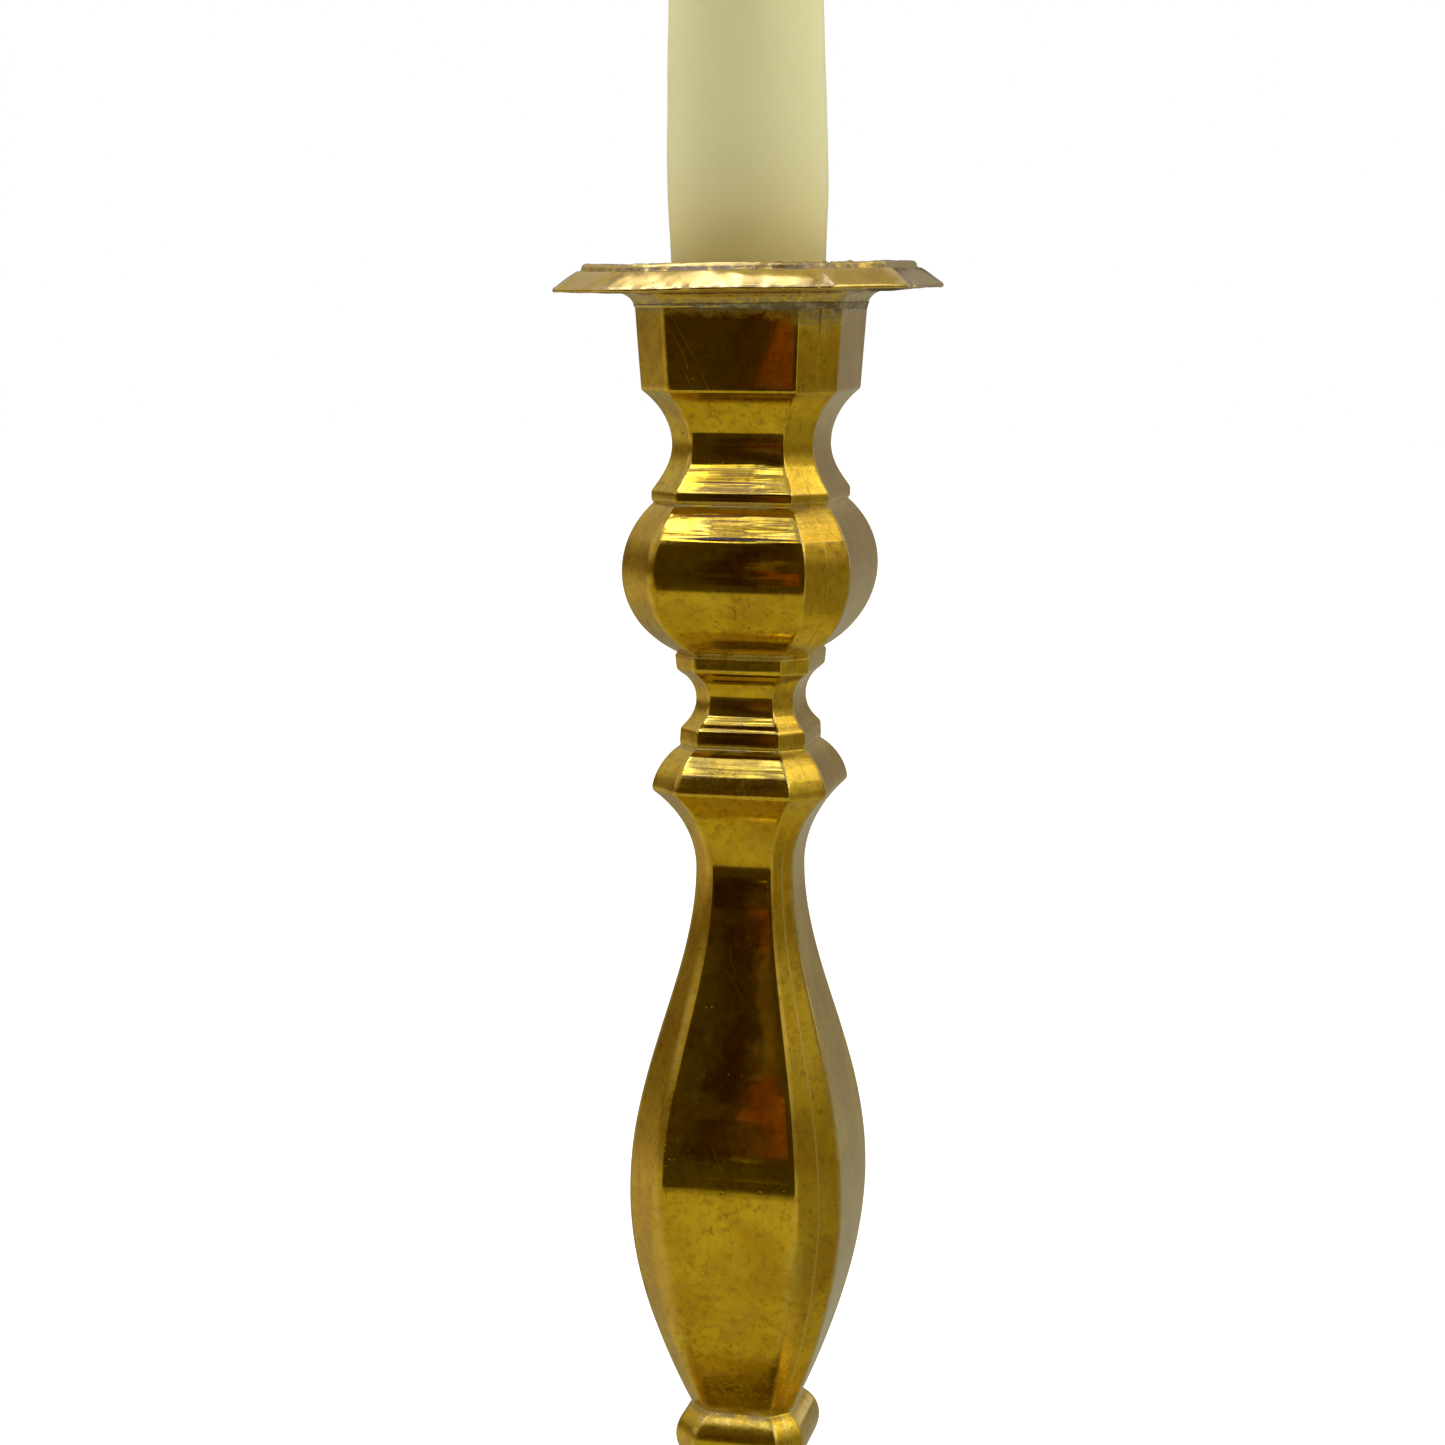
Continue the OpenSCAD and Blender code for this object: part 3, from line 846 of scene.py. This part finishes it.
def old_brass(name="old_brass", base=(0.66, 0.48, 0.026), deep=(0.52, 0.335, 0.010),
              pale=(0.78, 0.64, 0.24), rough=(0.028, 0.065), satin=0.30, marks=1.0):
    """Cast brass, polished by hand for years: tone drifts, file marks, scratches, casting
    pits, satin patches, dull grey-green residue in the creases and brighter, paler edges."""
    t = Tree(name)
    wear, grime, haze = t.attr("wear"), t.attr("grime"), t.attr("haze")
    filed, buffed, raw = t.attr("filed"), t.attr("satin"), t.attr("raw")
    tone = t.mix(t.map(t.noise(9, 3, 0.55, warp=0.4), 0.38, 0.66), base, deep)
    mottle = t.noise(1.3, 5, 0.7)
    tone = t.over(tone, t.map(mottle, 0.46, 0.70), 0.80, (0.36, 0.23, 0.012))
    smudge = t.map(t.noise(3.6, 4, 0.62, t.stretch(1, 1, 0.6), 0.8), 0.50, 0.68)
    tone = t.over(tone, smudge, 0.45, (0.46, 0.33, 0.05))
    # casting pits, few and scattered, with a darker floor
    pit = t.pits(3.4, 0.075, 0.035, t.noise(7, 1), 0.55, 0.66)
    speck = t.pits(1.15, 0.16, 0.07, t.noise(11, 2), 0.60, 0.74)
    holes = t.do("MAXIMUM", pit, t.times(speck, 0.7))
    # brown stains and hairline scratches
    stain = t.times(t.map(t.noise(2.2, 5, 0.75, warp=1.5), 0.55, 0.66),
                    t.map(t.noise(15, 2), 0.46, 0.58))
    tone = t.over(tone, stain, 0.75, (0.27, 0.16, 0.012))
    lines = t.times(t.scratches(38), t.map(t.noise(8, 1), 0.56, 0.66))
    lines = t.do("MAXIMUM", lines, t.times(t.scratches(-30), t.map(
        t.noise(10, 1, 0.5, t.along(1, 1, 1, 50)), 0.56, 0.66)))
    tone = t.over(tone, lines, 0.45, (0.30, 0.18, 0.012))
    tone = t.over(tone, holes, 0.85, (0.08, 0.045, 0.01))
    sand = t.noise(0.6, 4, 0.7)
    cast = t.mix(t.map(t.noise(6, 4, 0.65), 0.35, 0.65), (0.30, 0.20, 0.07), (0.14, 0.085, 0.03))
    tone = t.over(tone, raw, 0.9, cast)
    # worn edges, residue in the creases and haze under the pan
    tone = t.over(tone, t.times(wear, t.map(t.noise(1.6, 3), 0.25, 0.6)), 0.45, pale)
    crust = t.noise(0.45, 3, 0.6)
    crud = t.times(t.map(grime, 0.15, 0.9), t.map(t.noise(3.5, 2, 0.5), 0.30, 0.62))
    wisp = t.more(haze, t.noise(1.3, 4, 0.65, t.stretch(0.4, 0.4, 1.3)), 0.9)
    grains = t.times(haze, t.map(crust, 0.35, 0.65, -0.13, 0.13))
    veil = t.map(t.do("ADD", wisp, grains), 0.80, 1.60)
    residue = t.mix(t.map(crust, 0.3, 0.7), (0.095, 0.070, 0.026), (0.21, 0.175, 0.095))
    tone = t.over(tone, crud, 0.6, residue)
    tone = t.over(tone, t.map(veil, 0.0, 0.8), 0.85, residue)
    dull = t.do("MAXIMUM", t.times(crud, 0.6), t.times(veil, 0.60))
    # file and polishing marks
    level = t.noise(0.75, 1, 0.5, t.stretch(0.05, 0.05, 1.0))
    hair = t.noise(0.16, 2, 0.6, t.stretch(0.05, 0.05, 1.0))
    slant = t.noise(0.5, 2, 0.5, t.stretch(1.0, 1.0, 0.03))
    n = t.bump(t.noise(5, 2, 0.5), 0.010)
    n = t.bump(t.more(slant, hair, 0.5), 0.0004 * marks, n)
    n = t.bump(t.times(level, filed), 0.10, n)
    n = t.bump(t.times(mottle, t.do("MINIMUM", buffed, 0.4)), 0.005 * marks, n)
    sunk = t.do("MAXIMUM", holes, t.times(lines, 0.05))
    n = t.bump(t.do("SUBTRACT", 1.0, sunk), 0.035, n)
    n = t.bump(t.times(crust, veil), 0.015, n)
    n = t.bump(t.times(sand, raw), 0.35, n)
    shine = t.map(t.noise(4.5, 4, 0.6), 0.3, 0.75, *rough)
    shine = t.more(shine, raw, 0.42)
    cloth = t.times(t.map(t.noise(0.7, 3, 0.6), 0.2, 0.8, 0.5, 1), satin)
    shine = t.more(shine, cloth, buffed)
    shine = t.more(shine, crud, 0.18)
    shine = t.more(shine, veil, 0.06)
    shine = t.more(shine, holes, 0.2, True)
    return t.finish(Base_Color=tone, Roughness=shine, Normal=n, Coat_Weight=0.45,
                    Coat_Roughness=0.08, Metallic=t.do("SUBTRACT", 1.0, t.times(dull, 0.85)))


def pan_brass():
    """The pan is dressed with a fine file and left satin."""
    t = Tree("pan_brass")
    wear, grime = t.attr("wear"), t.attr("grime")
    tone = t.mix(t.map(t.noise(6, 3, 0.6), 0.35, 0.7), (0.60, 0.43, 0.075), (0.47, 0.31, 0.045))
    grain = t.noise(0.5, 4, 0.7)
    tone = t.over(tone, t.map(grain, 0.5, 0.8), 0.22, (0.40, 0.26, 0.02))
    pit = t.pits(0.9, 0.20, 0.08, t.noise(5, 2), 0.56, 0.70)
    tone = t.over(tone, pit, 0.7, (0.12, 0.07, 0.015))
    edge = t.times(wear, t.map(t.noise(1.2, 3), 0.25, 0.6))
    tone = t.over(tone, edge, 0.6, (0.85, 0.70, 0.28))
    # mostly residue; on the collar just above the solder this darkening is a painted line of shade
    crud = t.times(t.map(grime, 0.08, 0.8), t.map(t.noise(1.5, 3, 0.6), 0.30, 0.58))
    residue = t.mix(t.map(t.noise(0.4, 3), 0.3, 0.7), (0.075, 0.048, 0.012), (0.21, 0.185, 0.10))
    tone = t.over(tone, crud, 0.8, residue)
    n = t.bump(t.noise(4, 2, 0.5), 0.02)
    n = t.bump(t.noise(0.3, 2, 0.6, t.stretch(0.06, 0.06, 1.0)), 0.003, n)
    n = t.bump(grain, 0.004, n)
    n = t.bump(t.do("SUBTRACT", 1.0, pit), 0.06, n)
    shine = t.more(t.map(t.noise(3.5, 3, 0.6), 0.3, 0.7, 0.10, 0.18), crud, 0.3, True)
    return t.finish(Base_Color=tone, Roughness=shine, Normal=n, Coat_Weight=0.5,
                    Coat_Roughness=0.08, Metallic=t.do("SUBTRACT", 1.0, t.times(crud, 0.6)))


def braze_metal():
    t = Tree("braze_metal")
    z = t.axes()[2]
    low = t.map(z, (STEM_TOP - 74) * MM, (STEM_TOP - 80) * MM)
    tone = t.mix(t.map(t.noise(1.5, 3), 0.35, 0.65), (0.62, 0.45, 0.05), (0.50, 0.35, 0.03))
    tone = t.mix(low, tone, (0.62, 0.50, 0.17))
    hazy = t.map(z, (STEM_TOP - 4.5) * MM, (STEM_TOP - 1) * MM)
    tone = t.over(tone, hazy, 0.85, (0.19, 0.15, 0.07))
    n = t.bump(t.noise(0.5, 3), 0.004)
    return t.finish(Base_Color=tone, Metallic=1.0, Normal=n,
                    Roughness=t.map(t.noise(0.8, 2), 0.3, 0.7, 0.14, 0.30))


def soft_solder():
    t = Tree("soft_solder")
    blotch = t.map(t.noise(1.7, 4, 0.65), 0.35, 0.62)
    tone = t.mix(blotch, (0.20, 0.185, 0.115), (0.10, 0.075, 0.02))
    brown = t.mix(blotch, (0.21, 0.155, 0.065), (0.085, 0.052, 0.014))
    tone = t.over(tone, t.attr("run"), 0.9, brown)
    d = t.dots(0.6)
    tone = t.over(tone, t.map(d, 0.30, 0.1), 0.7, (0.07, 0.055, 0.02))
    n = t.bump(t.noise(0.5, 4, 0.65), 0.05)
    n = t.bump(d, 0.05, n)
    return t.finish(Base_Color=tone, Metallic=0.3, Normal=n,
                    Roughness=t.map(t.noise(0.9, 3), 0.3, 0.7, 0.35, 0.6))


def dull_steel():
    t = Tree("dull_steel")
    tone = t.mix(t.map(t.noise(3, 4), 0.4, 0.65), (0.34, 0.33, 0.31), (0.20, 0.13, 0.08))
    n = t.bump(t.noise(0.4, 3, 0.6, t.stretch(1, 1, 0.05)), 0.02)
    return t.finish(Base_Color=tone, Metallic=1.0, Normal=n,
                    Roughness=t.map(t.noise(2, 3), 0.3, 0.7, 0.3, 0.55))


def candle_wax():
    t = Tree("candle_wax")
    z = t.axes()[2]
    pan_z = (STEM_TOP + PAN_H) * MM
    # painted warm light from the brass pan: the wax is warmer and yellower in the 16 mm just above
    # the pan
    low = t.map(z, pan_z, pan_z + 0.016, 1.0, 0.0)
    drift = t.map(t.noise(14, 3), 0.35, 0.65)
    tone = t.over((0.60, 0.60, 0.37), drift, 0.3, (0.57, 0.555, 0.31))
    tone = t.over(tone, low, 0.55, (0.68, 0.58, 0.24))
    scratch = t.map(t.noise(1.2, 2, 0.5, t.stretch(1, 1, 0.12, 20), warp=1.0), 0.70, 0.74)
    speck = t.pits(4.7, 0.035, 0.015, t.noise(12, 1), 0.5, 0.6)
    tone = t.over(tone, speck, 0.6, (0.45, 0.36, 0.2))
    n = t.bump(t.noise(7, 2), 0.06)
    n = t.bump(t.noise(0.7, 3), 0.004, n)
    n = t.bump(scratch, 0.01, n)
    t.shader.subsurface_method = "RANDOM_WALK"
    t.shader.inputs["Subsurface Radius"].default_value = (1.0, 0.75, 0.35)
    t.shader.inputs["Subsurface Scale"].default_value = 0.003
    return t.finish(Base_Color=tone, Normal=n, Subsurface_Weight=0.6,
                    Roughness=t.map(t.noise(3, 3), 0.3, 0.7, 0.36, 0.5))


def waxed_cotton():
    t = Tree("waxed_cotton")
    tone = t.mix(t.noise(0.5, 3), (0.82, 0.78, 0.66), (0.62, 0.57, 0.44))
    n = t.bump(t.noise(0.12, 3, 0.6, t.stretch(1, 1, 0.25)), 0.03)
    return t.finish(Base_Color=tone, Roughness=0.7, Normal=n)


brass = old_brass()
turned = old_brass("turned_brass", (0.52, 0.35, 0.06), (0.34, 0.21, 0.03), (0.66, 0.5, 0.16),
                   (0.24, 0.36), 0.12, 1.6)
steel = dull_steel()
for obj, mat in ((stem_front, brass), (stem_back, brass), (pan, pan_brass()), (foot_piece, brass),
                 (seam_line, braze_metal()), (solder, soft_solder()),
                 (candle_piece, candle_wax()), (wick_piece, waxed_cotton())):
    obj.data.materials.append(mat)
for node, mat in (("stem_tenon", turned), ("base_nut", turned), ("ejector_disc", turned),
                  ("ejector_button", turned), ("base_washer", steel), ("ejector_rod", steel)):
    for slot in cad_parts[node].material_slots:
        slot.material = mat


# ---------------------------------------------------------------- stage
def card(name, corners, shader):
    mesh = bpy.data.meshes.new(name)
    mesh.from_pydata(corners, [], [(0, 1, 2, 3)])
    obj = bpy.data.objects.new(name, mesh)
    bpy.context.scene.collection.objects.link(obj)
    mesh.materials.append(shader)
    return obj


def add_floor():
    t = Tree("floor")
    mat = t.finish(Base_Color=(0.9, 0.9, 0.9), Roughness=0.9, Emission_Color=(1, 1, 1),
                   Emission_Strength=0.75)
    h = -0.0003
    obj = card("floor", [(-4, -4, h), (4, -4, h), (4, 4, h), (-4, 4, h)], mat)
    obj.visible_glossy = False


add_floor()


def glowing_card(name, t, tone, corners, seen_by=()):
    """A card that gives off the tree's tone, seen by reflections and by the rays in seen_by."""
    t.nodes.remove(t.shader)
    glow = t.nodes.new("ShaderNodeEmission")
    t.put(glow.inputs["Color"], tone)
    t.links.new(glow.outputs[0], t.output.inputs["Surface"])
    obj = card(name, corners, t.owner)
    for ray in ("camera", "diffuse", "shadow", "transmission", "volume_scatter"):
        if ray not in seen_by:
            setattr(obj, f"visible_{ray}", False)


def dark_room_card():
    """The unlit side of the room in front of the stick, which its flat faces mirror: dim,
    with a darker figure-sized shape, a strip of brown wall and a patch of orange cloth. It
    stands at the front edge of the table and the camera doesn't see it."""
    t = Tree("dark_room")
    at_x, _, at_z = t.axes()
    ragged = t.map(t.noise(22, 3, 0.6), 0.2, 0.8, -0.003, 0.003)
    x, z = t.do("ADD", at_x, ragged), t.do("ADD", at_z, ragged)
    tone = (0.075, 0.050, 0.004)
    for x0, x1, z0, z1, blur, colour in (
            (-0.1025, -0.0895, 0.062, 0.60, 0.003, (0.034, 0.013, 0.002)),
            (-0.0895, -0.0790, 0.062, 0.60, 0.003, (0.058, 0.027, 0.002)),
            (-0.1300, -0.0930, 0.144, 0.170, 0.004, (0.064, 0.038, 0.003)),
            (-0.0885, -0.0816, 0.205, 0.30, 0.0015, (0.17, 0.11, 0.020)),
            (-0.0885, -0.0860, 0.085, 0.150, 0.0015, (0.09, 0.055, 0.008)),
            (-0.0860, -0.0812, 0.140, 0.212, 0.001, (0.22, 0.066, 0.006)),
            (-0.0800, -0.0728, 0.078, 0.185, 0.001, (0.29, 0.092, 0.010)),
            (-0.0920, -0.0730, 0.0270, 0.0315, 0.001, (0.18, 0.14, 0.02)),
            (-0.0905, -0.0865, 0.0680, 0.0730, 0.001, (0.50, 0.42, 0.10))):
        patch = t.times(t.map(x, x0 - blur, x0 + blur), t.map(z, z0 - blur, z0 + blur))
        patch = t.times(patch, t.map(x, x1 + blur, x1 - blur))
        patch = t.times(patch, t.map(z, z1 + blur, z1 - blur))
        tone = t.mix(patch, tone, colour)
    tone = t.mix(t.map(z, 0.006, -0.012), tone, (0.45, 0.38, 0.12))
    y, half_w, foot_z, top_z = -0.43, 0.140, -0.012, 0.53
    glowing_card("dark_room", t, tone, [(-half_w, y, foot_z), (half_w, y, foot_z),
                                        (half_w, y, top_z), (-half_w, y, top_z)], ("diffuse",))


dark_room_card()


def soft_light(name, x, z):
    """A square lamp that lights the stick but isn't mirrored in it."""
    lamp = bpy.data.lights.new(name, "AREA")
    lamp.shape = "RECTANGLE"
    lamp.size = lamp.size_y = 0.8
    lamp.energy = 5.0
    obj = bpy.data.objects.new(name, lamp)
    bpy.context.scene.collection.objects.link(obj)
    obj.location = (x, -0.25, z)
    aim = Vector((0, 0, 0.17)) - obj.location
    obj.rotation_mode = "QUATERNION"
    obj.rotation_quaternion = aim.to_track_quat("-Z", "Y")
    obj.visible_glossy = False
    obj.visible_camera = False


soft_light("fill_left", -1.1, 0.5)
soft_light("fill_right", 1.1, 0.6)


def ceiling_card():
    """Bright panes overhead and in front."""
    t = Tree("ceiling_panes")
    panes = t.map(t.noise(130, 2, 0.5, t.stretch(4, 1, 1)), 0.42, 0.58)
    x, y, _ = t.axes()
    tone = t.mix(panes, (0.42, 0.38, 0.42), (0.84, 0.82, 1.4))
    for x0, x1, blur, colour in ((-0.285, -0.200, 0.012, (1.15, 1.2, 2.6)),
                                 (-0.276, -0.243, 0.012, (7.0, 7.2, 11.0)),
                                 (-0.206, -0.190, 0.008, (4.5, 4.6, 7.0)),
                                 (0.00, 0.09, 0.05, (2.2, 2.1, 3.0)),
                                 (0.35, 1.42, 0.05, (2.9, 2.6, 2.0))):
        pane = t.mix(panes, (0.50, 0.45, 0.50), colour)
        tone = t.mix(t.window(x, x0, x1, blur), tone, pane)
    # the pane that the pan's front bevel mirrors
    over_pan = t.times(t.window(x, -0.300, -0.245, 0.03), t.map(y, -0.12, 0.02))
    tone = t.over(tone, over_pan, 0.7, (6.0, 5.9, 8.5))
    left, right, front, back = -0.9, 1.5, (-0.95, 0.80), (0.45, 1.37)
    glowing_card("ceiling_panes", t, tone,
                 [(left, *front), (right, *front), (right, *back), (left, *back)])


ceiling_card()


def room():
    """White to look at. What the brass mirrors is a dimmer room: pale behind, warm wood on
    the left, a pale table below and a bright ceiling."""
    t = Tree("room", world=True)
    x, y, z = t.axes()
    wall = t.mix(t.map(x, -0.75, 0.75), (0.225, 0.148, 0.05), (0.31, 0.25, 0.10))
    wall = t.mix(t.map(y, 0.1, 0.7), wall, (0.29, 0.245, 0.175))
    high = t.mix(t.map(y, 0.1, 0.7), (0.66, 0.57, 0.38), (0.60, 0.53, 0.37))
    table = t.mix(t.map(x, -0.6, 0.6), (0.66, 0.54, 0.29), (0.34, 0.28, 0.12))
    table = t.mix(t.map(y, -0.5, -0.8), table, (0.57, 0.49, 0.18))
    table = t.mix(t.map(y, 0.1, 0.7), table, (0.34, 0.31, 0.21))
    side = t.mix(t.map(z, 0.10, 0.45), wall, high)
    side = t.mix(t.map(z, 0.02, -0.25), side, table)
    side = t.mix(t.map(z, -0.58, -0.85), side, (0.52, 0.43, 0.12))
    # a doorway and a window behind, which only the back of the stick mirrors
    for x0, x1, z0, z1, colour in ((-0.50, -0.06, -0.14, 0.17, (0.06, 0.04, 0.008)),
                                   (0.38, 0.62, -0.04, 0.40, (0.85, 0.80, 0.75))):
        inside = t.times(t.window(x, x0, x1, 0.02), t.window(z, z0, z1, 0.02))
        side = t.mix(t.times(inside, t.map(y, 0.3, 0.35)), side, colour)
    t.put(t.shader.inputs["Color"], side)
    seen = t.nodes.new("ShaderNodeBackground")
    t.put(seen.inputs["Color"], (1, 1, 1))
    path = t.nodes.new("ShaderNodeLightPath")
    pick = t.nodes.new("ShaderNodeMixShader")
    for socket, value in zip(pick.inputs, (path.outputs["Is Camera Ray"], t.shader.outputs[0],
                                           seen.outputs[0])):
        t.put(socket, value)
    t.put(t.output.inputs["Surface"], pick.outputs[0])
    bpy.context.scene.world = t.owner


room()
bpy.context.scene.view_settings.view_transform = "Standard"
